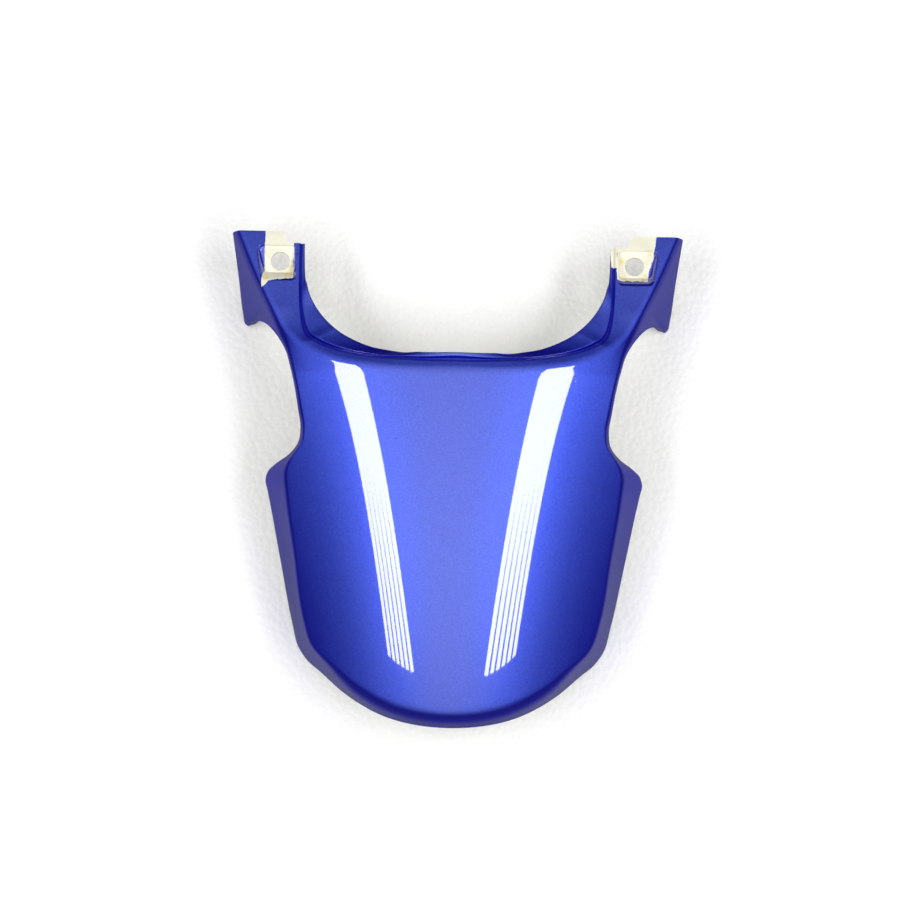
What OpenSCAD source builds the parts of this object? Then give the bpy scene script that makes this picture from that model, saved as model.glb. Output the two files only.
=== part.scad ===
// Rear centre tail fairing of a motorcycle, one injection-moulded shell.
// The origin is on the ground under the middle of the part. X is to the right, Y to the front, Z up.

/* [Overall] */
// Length from the ear fronts to the rear rim
body_length = 289; // [275:1:300]
// Width across the front corners of the ears
ear_span = 267; // [256:1:276]
// Height of the crown line above the ground
crown_height = 82; // [76:1:90]
// Thickness of the moulded wall
wall = 3; // [2.4:0.1:3.4]

/* [Seat opening] */
// Clear width between the two arms
seat_width = 179; // [174:0.2:184]
// Depth of the opening, from the ear fronts to its back edge
seat_depth = 76.5; // [70:0.1:80]
// Width of the seat ledge along the arms
ledge_arm = 2.5; // [2:0.1:3.2]
// Width of the seat ledge at the middle of the back edge, up to the middle of the step
ledge_back = 4.6; // [4:0.1:7]
// Width of the groove between the ledge and the step, at the back
groove_back = 1.8; // [1.2:0.1:2.4]
// Width of that groove along the arms
groove_arm = 0.6; // [0.4:0.1:1]
// Depth of the groove below the ledge, at the back
groove_depth = 2.6; // [1.5:0.1:3.5]
// Height of the step between the groove's bottom and the collar, at the back
step_back = 5; // [3.5:0.1:6]
// Height of that step along the arms
step_arm = 2.2; // [1.6:0.1:3]
// Width of the slanted step in plan
step_run = 1.6; // [1.2:0.1:2.4]
// Width of the collar between the step and the crown ridge
collar = 5; // [3.6:0.2:6]
// Fall of the collar towards the seat
collar_fall = 1.9; // [1:0.1:3]

/* [Crown] */
// Radius of the crown across its front end
front_radius = 204; // [185:1:230]
// Radius of the crown across its rear end
rear_radius = 96; // [88:1:110]
// Fall of the crown line from the ridge to the rear edge
tail_fall = 28; // [20:1:34]
// Forward fall of the arms, as a slope
arm_slope = 0.25; // [0.2:0.01:0.3]

/* [Ears] */
// Distance of the ear tips behind the ear fronts
ear_tip_back = 49.7; // [46:0.1:53]
// Width across the ear tips
ear_tip_span = 254; // [246:1:258]
// Fall of the ears' front corners below the crown line
ear_front_drop = 48.5; // [47:0.5:51]

/* [Waist and flanges] */
// Width of the waist between the side notches
waist_width = 178; // [172:0.2:184]
// Distance of the waist behind the ear fronts
waist_back = 119.2; // [116:0.2:123]
// Fall of the rim at the waist below the crown line
waist_drop = 26.8; // [24:0.2:30]
// Width across the front corners of the flanges
flange_span = 222; // [216:1:228]
// Height of those corners
flange_corner_height = 25; // [20:1:30]
// Distance of the flanges' heels in front of the rear rim
heel_ahead = 46.5; // [42:0.5:51]
// Width across the heels
heel_span = 182; // [176:1:188]
// Height of the rear wall at its middle, from the crown line down to the rim
rear_wall = 16; // [12:0.5:22]
// Depth of the rolled rear edge in plan
roll_depth = 5; // [3:0.5:10]
// Size of the rear edge's rounding, along the crown and down the wall
roll_round = 10; // [6:0.2:14]

/* [Screw holes] */
// Distance between the two screw holes
hole_spacing = 208; // [204:1:212]
// Diameter of the screw holes
hole_diameter = 11; // [8:0.1:13]
// Distance of the holes behind the ear fronts
hole_back = 18.4; // [17:0.1:20]
// Width of the sunk pads at their rear
pad_width = 21; // [19:0.5:22]
// How much wider the pads are at their front
pad_splay = 4; // [2:0.5:5]
// Corner radius of the pads
pad_corner = 3; // [2:0.5:4]
// Reach of the scoop behind the pads, over 10 mm of height
pad_scoop = 7; // [4:0.5:9]
// Length of the sunk pads
pad_length = 16.5; // [15.5:0.5:18]
// Fall of the pads' upper faces below the crown line
pad_drop = 39.4; // [39:0.2:41]
// Depth of the notch at the inner front corner of each arm
notch_depth = 7.7; // [6:0.1:9]
// Width of that notch at its rear, from the seat opening outwards
notch_width = 10; // [8:0.5:12]
// Slant of the notch's outer side in plan
notch_slant = 3.9; // [2:0.1:6]

/* [Hidden] */

paint = "mediumblue";
front = body_length / 2;
rear = -front;
seat_back = front - seat_depth;
half_seat = seat_width / 2;
step_line = seat_back - ledge_back;
ridge_line = step_line - step_run / 2 - collar;
half_ear = ear_span / 2;
half_tip = ear_tip_span / 2;
tip = front - ear_tip_back;
half_waist = waist_width / 2;
waist = front - waist_back;
half_flange = flange_span / 2;
corner = waist - 27;
half_heel = heel_span / 2;
heel = rear + heel_ahead;
ear_front_height = crown_height - ear_front_drop;
waist_height = crown_height - waist_drop;
rim_height = crown_height - tail_fall - rear_wall;
pad_height = crown_height - pad_drop;

// Feature lines of the right half. Each point is [station, [x, y]] or [station, [x, y, z]].
// The station runs from the ear front (0) along the outer rim to the rear middle (last).
last = 386;

// Free edge of the seat ledge
seat_edge = [
    [0, [half_seat + 0.6, front]], [28, [half_seat - 0.6, seat_back + 50.5]],
    [49, [half_seat - 2.2, seat_back + 40.5]], [60, [half_seat - 5.9, seat_back + 32.6]],
    [78, [half_seat - 11.5, seat_back + 24]], [102, [half_seat - 20.6, seat_back + 14.9]],
    [128, [half_seat - 29.9, seat_back + 8.9]], [156, [half_seat - 41, seat_back + 4]],
    [184, [half_seat - 52.5, seat_back + 1.4]], [264, [half_seat - 69, seat_back + 0.2]], [last, [0, seat_back]]
];
// Middle of the step between ledge and collar
step_mid = [
    [0, [half_seat + ledge_arm + 0.3, front]], [49, [half_seat + ledge_arm - 0.9, step_line + 39.4]],
    [66, [half_seat + ledge_arm - 2, step_line + 29]], [80, [half_seat + ledge_arm - 3.9, step_line + 20.4]],
    [90, [half_seat + ledge_arm - 6.2, step_line + 16]], [102, [half_seat + ledge_arm - 10.2, step_line + 13]],
    [128, [half_seat + ledge_arm - 19.2, step_line + 8.5]], [156, [half_seat + ledge_arm - 30.5, step_line + 5]],
    [184, [half_seat + ledge_arm - 41.5, step_line + 2.8]], [264, [half_seat + ledge_arm - 64, step_line + 0.6]],
    [last, [0, step_line]]
];
// Ridge between the collar and the crown. On the arms it is the inner side of their outer crease.
ridge = [
    [0, [half_ear - 5, front - 0.2]], [28, [half_ear - 15.4, front - 23.8]], [49, [half_ear - 24.2, front - 42.3]],
    [58, [half_ear - 27.8, front - 48.8]], [66, [half_ear - 31.6, front - 56.2]],
    [84, [half_ear - 38.9, ridge_line + 21.8]], [102, [half_ear - 46.3, ridge_line + 16.2]],
    [128, [half_ear - 54.8, ridge_line + 11.2]], [156, [half_ear - 66, ridge_line + 6.8]],
    [184, [half_ear - 79, ridge_line + 4]], [264, [half_ear - 100, ridge_line + 1]], [last, [0, ridge_line]]
];
// Crease between the crown and the side walls
crease = [
    [0, [half_ear - 1.6, front - 0.4]], [28, [half_ear - 12.2, front - 25.6]], [49, [half_ear - 21.2, front - 43.8]],
    [66, [half_ear - 28.2, front - 58]], [84, [half_ear - 34.4, front - 69.5]], [102, [half_waist + 5.2, waist + 34]],
    [128, [half_waist - 0.2, waist + 11]], [141, [half_waist - 1.9, waist - 0.5]],
    [149, [half_waist - 0.9, waist - 8]], [157, [half_flange - 19.5, corner + 14]],
    [166, [half_flange - 15.2, corner + 8]], [175, [half_flange - 13.2, corner + 1.5]],
    [184, [half_flange - 13.8, corner - 7]], [225, [half_flange - 19.2, corner - 45]],
    [264, [half_heel - 5, heel + 14.5]], [277, [half_heel - 8.7, heel + 2.5]], [300, [half_heel - 20.8, rear + 34.7]],
    [320, [half_heel - 33.8, rear + 16.5 + roll_depth]], [345, [37.4, rear + 6 + roll_depth]],
    [368, [17.2, rear + 1.2 + roll_depth]], [last, [0, rear + roll_depth]]
];
// Outer rim
rim = [
    [0, [half_ear, front, ear_front_height]], [24, [half_tip + 3.6, tip + 25.5, ear_front_height - 13.5]],
    [43, [half_tip + 1.8, tip + 5.6, 4.4]], [49, [half_tip + 0.9, tip + 1.1, 0.6]], [52, [half_tip - 0.8, tip - 0.3, 0]],
    [56, [half_tip - 4.2, tip - 0.2, 12.5]], [66, [half_tip - 12, tip - 3, waist_height - 23.2]],
    [78, [half_tip - 20.2, tip - 11, waist_height - 7.2]],
    [90, [half_waist + 10.3, waist + 47, waist_height - 2.2]],
    [102, [half_waist + 7, waist + 37, waist_height - 0.2]],
    [116, [half_waist + 3.8, waist + 24, waist_height + 1.8]],
    [128, [half_waist + 1.6, waist + 11.7, waist_height + 2]], [141, [half_waist, waist, waist_height]],
    [149, [half_waist + 1.4, waist - 7.4, waist_height - 3.7]],
    [156, [half_waist + 6, waist - 12.5, waist_height - 10.2]],
    [168, [half_flange - 5.7, corner + 8.3, flange_corner_height + 9]],
    [174, [half_flange - 1.6, corner + 4.8, flange_corner_height + 4]],
    [179, [half_flange, corner, flange_corner_height]],
    [184, [half_flange - 1.1, corner - 5, flange_corner_height - 1.5]],
    [225, [half_heel + 11, heel + 50.5, 11.5]], [264, [half_heel + 3.4, heel + 12.5, 1.6]], [277, [half_heel, heel, 0]],
    [285, [half_heel - 4.4, heel - 6.7, 1.2]], [300, [half_heel - 15, rear + 30.7, 9.5]],
    [320, [half_heel - 29.8, rear + 18.5, rim_height - 18.5]], [345, [39.5, rear + 6.6, rim_height - 7.5]],
    [368, [18, rear + 1.2, rim_height - 1.4]], [last, [0, rear, rim_height]]
];

function unit(v) = v / norm(v);
function mirrored(p) = len(p) > 2 ? [-p[0], p[1], p[2]] : [-p[0], p[1]];
// Line with one more point past the middle, so that it crosses the middle smoothly
function whole(line) =
    let (p = line[len(line) - 2]) concat(line, [[2 * last - p[0], mirrored(p[1])]]);
lines = [whole(seat_edge), whole(step_mid), whole(ridge), whole(crease), whole(rim)];

// Smooth curve through the points of a line
function span_at(line, s, i = 0) = i >= len(line) - 2 || s < line[i + 1][0] ? i : span_at(line, s, i + 1);
function chord(line, i) = (line[i + 1][1] - line[i][1]) / (line[i + 1][0] - line[i][0]);
function heading(line, i) =
    i == 0 ? chord(line, 0) : i == len(line) - 1 ? chord(line, i - 1) :
    let (a = line[i][0] - line[i - 1][0], b = line[i + 1][0] - line[i][0])
        (chord(line, i - 1) * b + chord(line, i) * a) / (a + b);
function at(line, s) =
    let (i = span_at(line, s), h = line[i + 1][0] - line[i][0], t = (s - line[i][0]) / h)
        line[i][1] * (2 * t * t * t - 3 * t * t + 1) + heading(line, i) * h * (t * t * t - 2 * t * t + t)
        + line[i + 1][1] * (3 * t * t - 2 * t * t * t) + heading(line, i + 1) * h * (t * t * t - t * t);

// Height of the crown over any place
function ahead(y) = max(0, ridge_line - y) / (ridge_line - rear);
function crown(x, y) =
    crown_height - tail_fall * pow(ahead(y), 2.4)
    - x * x / 2 * (1 / front_radius + ahead(y) * (1 / rear_radius - 1 / front_radius));

// 0 to 1 as s goes from a to b, with level ends
function ease(s, a, b) = let (t = min(1, max(0, (s - a) / (b - a)))) t * t * (3 - 2 * t);

// Corners of the section at station s, from the seat edge to the outer rim
function step_side(s, side) =
    let (m = at(lines[1], s), d = at(lines[1], s + 0.5) - m, run = step_run * (0.65 + 0.35 * ease(s, 60, 110)))
        m + unit([-d[1], d[0]]) * side * run / 2;
function arm_fall(y) = arm_slope * max(0, y - seat_back - 8);
function step_top(s) =
    let (p = step_side(s, 1)) [p[0], p[1], crown(p[0], p[1]) - collar_fall - arm_fall(p[1])];
function step_foot(s) =
    let (p = step_side(s, -1)) [p[0], p[1], step_top(s)[2] - step_arm - (step_back - step_arm) * ease(s, 50, 110)];
// The groove's front side rises from the step's foot to the ledge, which falls a little to its free edge.
function groove(s) = groove_arm + (groove_back - groove_arm) * ease(s, 50, 110);
function lip(s) =
    let (
        f = step_foot(s), p = at(lines[0], s), d = [p[0] - f[0], p[1] - f[1]], w = min(groove(s), 0.6 * norm(d)),
        q = unit(d) * w
    )
    [f[0] + q[0], f[1] + q[1], f[2] + groove_depth * w / groove_back];
function edge(s) =
    let (p = at(lines[0], s), q = lip(s)) [p[0], p[1], q[2] - 0.05 * norm([p[0] - q[0], p[1] - q[1]])];
function shoulder(s) = 1.8 * (1 - ease(s, 50, 120));
// Point of the crown on the section at s, t from 0 at the ridge to 1 at the crease. The section bends
// outwards on its way, so that it meets the crease squarely.
function skin(s, t) =
    let (
        a = at(lines[2], s), b = at(lines[3], s), q = [a[0] * 0.8 + b[0] * 0.2, b[1] * 0.75 + a[1] * 0.25],
        p = a * (1 - t) * (1 - t) + q * 2 * t * (1 - t) + b * t * t
    )
    [p[0], p[1], crown(p[0], p[1]) - shoulder(s) * t * t];
function rim_point(s) = at(lines[4], s);

// Normal of the surface from two points on each of two nearby sections
function normal(a, b, c, d) = unit(cross(c + d - a - b, b + d - a - c));
function skin_normal(s, t) =
    let (e = 0.02) normal(skin(s - 0.5, t - e), skin(s - 0.5, t + e), skin(s + 0.5, t - e), skin(s + 0.5, t + e));
function mitre(a, b) = wall * (a + b) / (1 + a * b);

// Round a corner p between the points a and b
function rounded(a, p, b, n) =
    [for (i = [0:n]) let (t = i / n) a * (1 - t) * (1 - t) + p * 2 * t * (1 - t) + b * t * t];
function toward(p, q, d, most = 0.45) = p + unit(q - p) * min(d, most * norm(q - p));

step_round = 1;
lip_round = 0.6;
ridge_round = 2.6;
function crease_round(s) = 2.6 + (roll_round - 2.6) * ease(s, 285, 330);

crown_steps = 9;
function section(s, edge_p, lip_p, foot_p, top_p, ridge_p, crease_p, rim_p, depth) =
    let (
        n = function (t) skin(s, t) - (depth == 0 ? [0, 0, 0] : depth * skin_normal(s, t)),
        span = norm(skin(s, 1) - skin(s, 0)),
        t0 = min(ridge_round / span, 0.45),
        t1 = 1 - min((crease_round(s) + depth) / span, 0.45),
        wall_top = toward(crease_p, rim_p, crease_round(s), 0.8)
    )
    concat(
        [edge_p],
        rounded(toward(lip_p, edge_p, lip_round), lip_p, toward(lip_p, foot_p, lip_round), 2),
        rounded(toward(foot_p, lip_p, step_round), foot_p, toward(foot_p, top_p, step_round), 2),
        rounded(toward(top_p, foot_p, lip_round), top_p, toward(top_p, ridge_p, lip_round), 2),
        [top_p * 0.6 + ridge_p * 0.4],
        rounded(toward(ridge_p, top_p, ridge_round), ridge_p, n(t0), 2),
        [for (i = [1:crown_steps - 1]) n(t0 + (t1 - t0) * i / crown_steps)],
        rounded(n(t1), crease_p, wall_top, 4),
        [wall_top * 0.5 + rim_p * 0.5],
        [rim_p]
    );
function outer(s) =
    section(s, edge(s), lip(s), step_foot(s), step_top(s), skin(s, 0), skin(s, 1), rim_point(s), 0);
function inner(s) =
    let (
        a = max(0, s - 0.5), b = s + 0.5,
        n0 = normal(edge(a), lip(a), edge(b), lip(b)),
        n1 = normal(step_foot(a), step_top(a), step_foot(b), step_top(b)),
        n2 = normal(step_top(a), skin(a, 0), step_top(b), skin(b, 0)),
        n3 = skin_normal(max(0.5, s), 0.03),
        n4 = skin_normal(max(0.5, s), 0.97),
        n5 = normal(skin(a, 1), rim_point(a), skin(b, 1), rim_point(b)),
        flat = [n5[0], n5[1], 0],
        e = edge(s) - wall * n0, f = step_foot(s) - mitre(n0, n1)
    )
    section(s, e, (e + f) / 2, f, step_top(s) - mitre(n1, n2), skin(s, 0) - mitre(n2, n3),
        skin(s, 1) - mitre(n4, n5), rim_point(s) - wall * flat / (flat * flat), wall);

// Stations of the right half, closer together round the ear tip and the flange corner
spans = [[0, 42, 5], [42, 56, 4], [56, 141, 10], [141, 184, 9], [184, 277, 8], [277, 285, 2], [285, last, 9]];
stations = concat([for (p = spans) for (i = [0:p[2] - 1]) p[0] + (p[1] - p[0]) * i / p[2]], [last]);

function other_side(ring) = [for (p = ring) [-p[0], p[1], p[2]]];
half_rings = [for (s = stations) concat(outer(s), inner(s))];
rings = concat(half_rings, [for (i = [len(half_rings) - 2:-1:0]) other_side(half_rings[i])]);
across = len(half_rings[0]) / 2;

module shell() {
    size = 2 * across;
    count = len(rings);
    // place of point k of ring i, outer points first
    function at_ring(i, k) = i * size + k;
    faces = concat(
        [for (i = [0:count - 2]) for (k = [0:across - 2])
            each [[at_ring(i, k), at_ring(i, k + 1), at_ring(i + 1, k)],
                  [at_ring(i, k + 1), at_ring(i + 1, k + 1), at_ring(i + 1, k)]]],
        [for (i = [0:count - 2]) for (k = [across:size - 2])
            each [[at_ring(i, k), at_ring(i + 1, k), at_ring(i, k + 1)],
                  [at_ring(i, k + 1), at_ring(i + 1, k), at_ring(i + 1, k + 1)]]],
        [for (i = [0:count - 2])
            each [[at_ring(i, 0), at_ring(i + 1, 0), at_ring(i, across)],
                  [at_ring(i + 1, 0), at_ring(i + 1, across), at_ring(i, across)],
                  [at_ring(i, across - 1), at_ring(i, size - 1), at_ring(i + 1, across - 1)],
                  [at_ring(i + 1, across - 1), at_ring(i, size - 1), at_ring(i + 1, size - 1)]]],
        [for (k = [0:across - 2])
            each [[k, k + across, k + 1], [k + 1, k + across, k + across + 1],
                  [at_ring(count - 1, k), at_ring(count - 1, k + 1), at_ring(count - 1, k + across)],
                  [at_ring(count - 1, k + 1), at_ring(count - 1, k + across + 1), at_ring(count - 1, k + across)]]]
    );
    polyhedron(points = [for (r = rings) each r], faces = faces, convexity = 10);
}

// Height of the arm over a place near its screw hole
function arm_height(x, y) =
    let (
        in_x = half_seat + ledge_arm + step_run / 2, out_x = half_ear - 5 - (front - y) * 0.43,
        in_z = crown(in_x, y) - collar_fall - arm_fall(y), out_z = crown(out_x, y),
        t = (x - in_x) / (out_x - in_x)
    )
    in_z * (1 - t) + out_z * t;

pad_in = half_seat + ledge_arm + step_run / 2 + 2;
pad_front = front - hole_back + pad_length / 2 + 1;
pad_rear = pad_front - pad_length;

// Four corners in plan, from the inner rear one round to the inner front one, grown by the given margins
function pad_corners(inner, rear, outer, front) = [
    [pad_in - inner, pad_rear - rear], [pad_in + pad_width + outer - pad_splay * rear / pad_length, pad_rear - rear],
    [pad_in + pad_width + pad_splay * (1 + front / pad_length) + outer, pad_front + front],
    [pad_in - inner, pad_front + front]
];

// Solid under a pad. Its top stays inside the wall of the arm.
module pad_block() {
    low = pad_height - wall;
    corners = pad_corners(1.4, wall + pad_scoop / 3, wall - 1, 7);
    polyhedron(
        points = concat(
            [for (p = corners) [p[0], p[1], low]],
            [for (p = corners) [p[0], p[1], max(low + 0.5, arm_height(p[0], p[1]) - wall / 2)]]
        ),
        faces = [[0, 1, 2, 3], [7, 6, 5, 4], [0, 4, 5, 1], [1, 5, 6, 2], [2, 6, 7, 3], [3, 7, 4, 0]]
    );
}

// Space over a pad. Its sides are slanted, and the rear one most, as a scoop.
module pad_pocket() {
    r = pad_corner;
    rise = 10;
    floor_points = pad_corners(-r, -r, -r, -r);
    top_points = pad_corners(1 - r, pad_scoop - r, 1.2 - r, 1 - r);
    hull() {
        for (p = floor_points) translate([p[0], p[1], pad_height]) cylinder(r = r, h = 0.01, $fn = 24);
        for (p = top_points) translate([p[0], p[1], pad_height + rise]) cylinder(r = r, h = 0.01, $fn = 24);
    }
}

// Space in front of the arm's end, with the notch at its inner corner
module front_space() {
    x = half_seat + notch_width;
    trim = 0.3; // taken off the front end of the arm beside the notch
    spare = 20;
    translate([0, 0, -1]) linear_extrude(crown_height + 2) polygon([
        [0, front + spare], [0, front - notch_depth], [x, front - notch_depth], [x + notch_slant, front - trim],
        [half_ear + 5, front], [half_ear + 5, front + spare]
    ]);
}

module both_sides() for (side = [0, 1]) mirror([side, 0, 0]) children();

module tail_fairing() {
    color(paint) difference() {
        union() {
            shell();
            both_sides() pad_block();
        }
        both_sides() pad_pocket();
        both_sides() front_space();
        both_sides() translate([hole_spacing / 2, front - hole_back, 0]) cylinder(d = hole_diameter, h = crown_height);
    }
}

tail_fairing();
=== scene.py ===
import bmesh
import bpy
import math
import numpy as np
from mathutils import Matrix, Vector
from mathutils.bvhtree import BVHTree


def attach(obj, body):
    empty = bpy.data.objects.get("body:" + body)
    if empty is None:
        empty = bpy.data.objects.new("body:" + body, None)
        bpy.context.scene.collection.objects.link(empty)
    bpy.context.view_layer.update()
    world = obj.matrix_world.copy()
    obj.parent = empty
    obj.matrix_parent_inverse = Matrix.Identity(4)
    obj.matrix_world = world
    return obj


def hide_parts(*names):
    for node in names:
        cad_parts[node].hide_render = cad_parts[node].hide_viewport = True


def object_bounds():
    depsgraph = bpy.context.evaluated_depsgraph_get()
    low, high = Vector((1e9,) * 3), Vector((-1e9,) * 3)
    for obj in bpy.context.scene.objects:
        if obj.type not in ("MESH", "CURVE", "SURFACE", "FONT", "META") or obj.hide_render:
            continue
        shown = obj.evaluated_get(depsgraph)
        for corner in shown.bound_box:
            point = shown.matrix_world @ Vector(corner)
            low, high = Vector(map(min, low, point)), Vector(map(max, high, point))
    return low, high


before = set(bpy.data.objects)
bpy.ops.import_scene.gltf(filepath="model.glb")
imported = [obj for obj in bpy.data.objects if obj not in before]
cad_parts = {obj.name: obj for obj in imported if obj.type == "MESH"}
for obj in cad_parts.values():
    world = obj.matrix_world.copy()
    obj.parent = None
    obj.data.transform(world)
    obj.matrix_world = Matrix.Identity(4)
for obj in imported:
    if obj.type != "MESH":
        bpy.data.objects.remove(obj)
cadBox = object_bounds()
mm = 0.001
print("stage: frame loaded")

# Camera
cameraView = {
    "distance": 1260.0,        # mm from the target
    "target": (0.0, -1.2, 40.0),
    "targetPixel": (453.8, 480.0),
    "elevation": 84.0,         # degrees above the floor, seen from the rear
    "roll": 0.95,
    "focalPixels": 2166.7,
    "frameSize": 900,
    "sensor": 36.0,
}


def addCamera(view):
    elevation, roll = math.radians(view["elevation"]), math.radians(view["roll"])
    forward = Vector((0, math.cos(elevation), -math.sin(elevation)))
    side = Vector((1, 0, 0))
    up = side.cross(forward)
    right = side * math.cos(roll) + up * math.sin(roll)
    top = up * math.cos(roll) - side * math.sin(roll)
    place = Vector(view["target"]) - forward * view["distance"]
    # turned a little, so that the target falls on its pixel with no lens shift
    half = view["frameSize"] / 2
    aside = (half - view["targetPixel"][0]) / view["focalPixels"]
    above = (view["targetPixel"][1] - half) / view["focalPixels"]
    forward = (forward + right * aside + top * above).normalized()
    right = (right - forward * right.dot(forward)).normalized()
    top = right.cross(forward)
    data = bpy.data.cameras.new("photoCamera")
    data.sensor_width = view["sensor"]
    data.lens = view["focalPixels"] * view["sensor"] / view["frameSize"]
    data.clip_end = 50
    camera = bpy.data.objects.new("photoCamera", data)
    turn = Matrix((right, top, -forward)).transposed().to_4x4()
    camera.matrix_world = Matrix.Translation(place * mm) @ turn
    bpy.context.scene.collection.objects.link(camera)
    bpy.context.scene.camera = camera


addCamera(cameraView)
print("stage: camera placed")

# Materials
def node(tree, kind, inputs=None, **settings):
    made = tree.nodes.new(kind)
    for key, value in settings.items():
        setattr(made, key, value)
    for key, value in (inputs or {}).items():
        socket = made.inputs[key]
        if isinstance(value, bpy.types.NodeSocket):
            tree.links.new(value, socket)
        else:
            socket.default_value = value
    return made


def math2(tree, operation, a, b=0.0):
    return node(tree, "ShaderNodeMath", {0: a, 1: b}, operation=operation).outputs[0]


def mixColour(tree, factor, a, b):
    # inputs 6 and 7 and output 2 are the colour ones of this node
    return node(tree, "ShaderNodeMix", {0: factor, 6: a, 7: b}, data_type="RGBA").outputs[2]


def ramp(tree, value, low, high, start=0.0, end=1.0):
    limits = {"From Min": low, "From Max": high, "To Min": start, "To Max": end}
    made = node(tree, "ShaderNodeMapRange", {"Value": value, **limits}, interpolation_type="SMOOTHSTEP")
    return made.outputs["Result"]


def noiseAt(tree, position, size, detail=2.0, rough=0.5):
    # noise whose features are about size mm wide
    look = {"Scale": 1 / (size * mm), "Detail": detail, "Roughness": rough}
    return node(tree, "ShaderNodeTexNoise", {"Vector": position, **look}).outputs["Fac"]


def insideOf(tree, position, corners, wobble):
    # how far a place lies inside a convex outline, in mm
    turning = sum(a[0] * b[1] - a[1] * b[0] for a, b in zip(corners, corners[1:] + corners[:1]))
    if turning < 0:
        corners = corners[::-1]
    reach = None
    for i, (x, y) in enumerate(corners):
        u, v = corners[(i + 1) % len(corners)]
        length = math.hypot(u - x, v - y)
        nx, ny = -(v - y) / length, (u - x) / length
        inward = (nx / mm, ny / mm, 0)
        dot = node(tree, "ShaderNodeVectorMath", {0: position, 1: inward}, operation="DOT_PRODUCT")
        side = math2(tree, "SUBTRACT", dot.outputs["Value"], nx * x + ny * y)
        reach = side if reach is None else math2(tree, "MINIMUM", reach, side)
    return math2(tree, "ADD", reach, wobble)


def scaled(tree, position, factors):
    return node(tree, "ShaderNodeVectorMath", {0: position, 1: factors}, operation="MULTIPLY").outputs[0]


def spotAt(tree, position, x, y, radius):
    # 1 in the middle of a round spot, 0 at its edge
    flat = scaled(tree, position, (1, 1, 0))
    gap = node(tree, "ShaderNodeVectorMath", {0: flat, 1: (x * mm, y * mm, 0)}, operation="DISTANCE")
    return ramp(tree, gap.outputs["Value"], radius * mm, 0.0)


bareLook = {
    "colour": (0.93, 0.92, 0.74, 1), "shade": (0.86, 0.84, 0.66, 1), "stain": (0.88, 0.70, 0.26, 1),
    "roughness": 0.5, "roughSpread": 0.08,
    # sizes in mm of the colour's clouds, of the blotches in a stain and of the grain
    "cloudSize": 9.0, "blotchSize": 1.6, "grainSize": 0.5, "grainHeight": 0.05,
}


def barePlasticGroup():
    # cream plastic with a faint cloud of colour, and stains where the Stain input says
    group = bpy.data.node_groups.new("barePlastic", "ShaderNodeTree")
    for name, kind in (("Position", "NodeSocketVector"), ("Stain", "NodeSocketFloat")):
        group.interface.new_socket(name, in_out="INPUT", socket_type=kind)
    kinds = {"Colour": "NodeSocketColor", "Roughness": "NodeSocketFloat", "Height": "NodeSocketFloat"}
    for name, kind in kinds.items():
        group.interface.new_socket(name, in_out="OUTPUT", socket_type=kind)
    look = bareLook
    given = group.nodes.new("NodeGroupInput")
    position = given.outputs["Position"]
    cloud = noiseAt(group, position, look["cloudSize"])
    grain = noiseAt(group, position, look["grainSize"], 3, 0.6)
    plain = mixColour(group, ramp(group, cloud, 0.35, 0.7), look["colour"], look["shade"])
    blotch = ramp(group, noiseAt(group, position, look["blotchSize"]), 0.25, 0.6)
    stained = math2(group, "MULTIPLY", given.outputs["Stain"], blotch)
    colour = mixColour(group, stained, plain, look["stain"])
    middle, spread = look["roughness"], look["roughSpread"]
    rough = ramp(group, grain, 0.3, 0.7, middle - spread, middle + spread)
    end = group.nodes.new("NodeGroupOutput")
    for socket, value in (("Colour", colour), ("Roughness", rough), ("Height", grain)):
        group.links.new(value, end.inputs[socket])
    return group


def useGroup(tree, group, position, stain):
    return node(tree, "ShaderNodeGroup", {"Position": position, "Stain": stain}, node_tree=group)


def newMaterial(name):
    material = bpy.data.materials.new(name)
    material.use_nodes = True
    material.node_tree.nodes.clear()
    return material, material.node_tree


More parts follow.
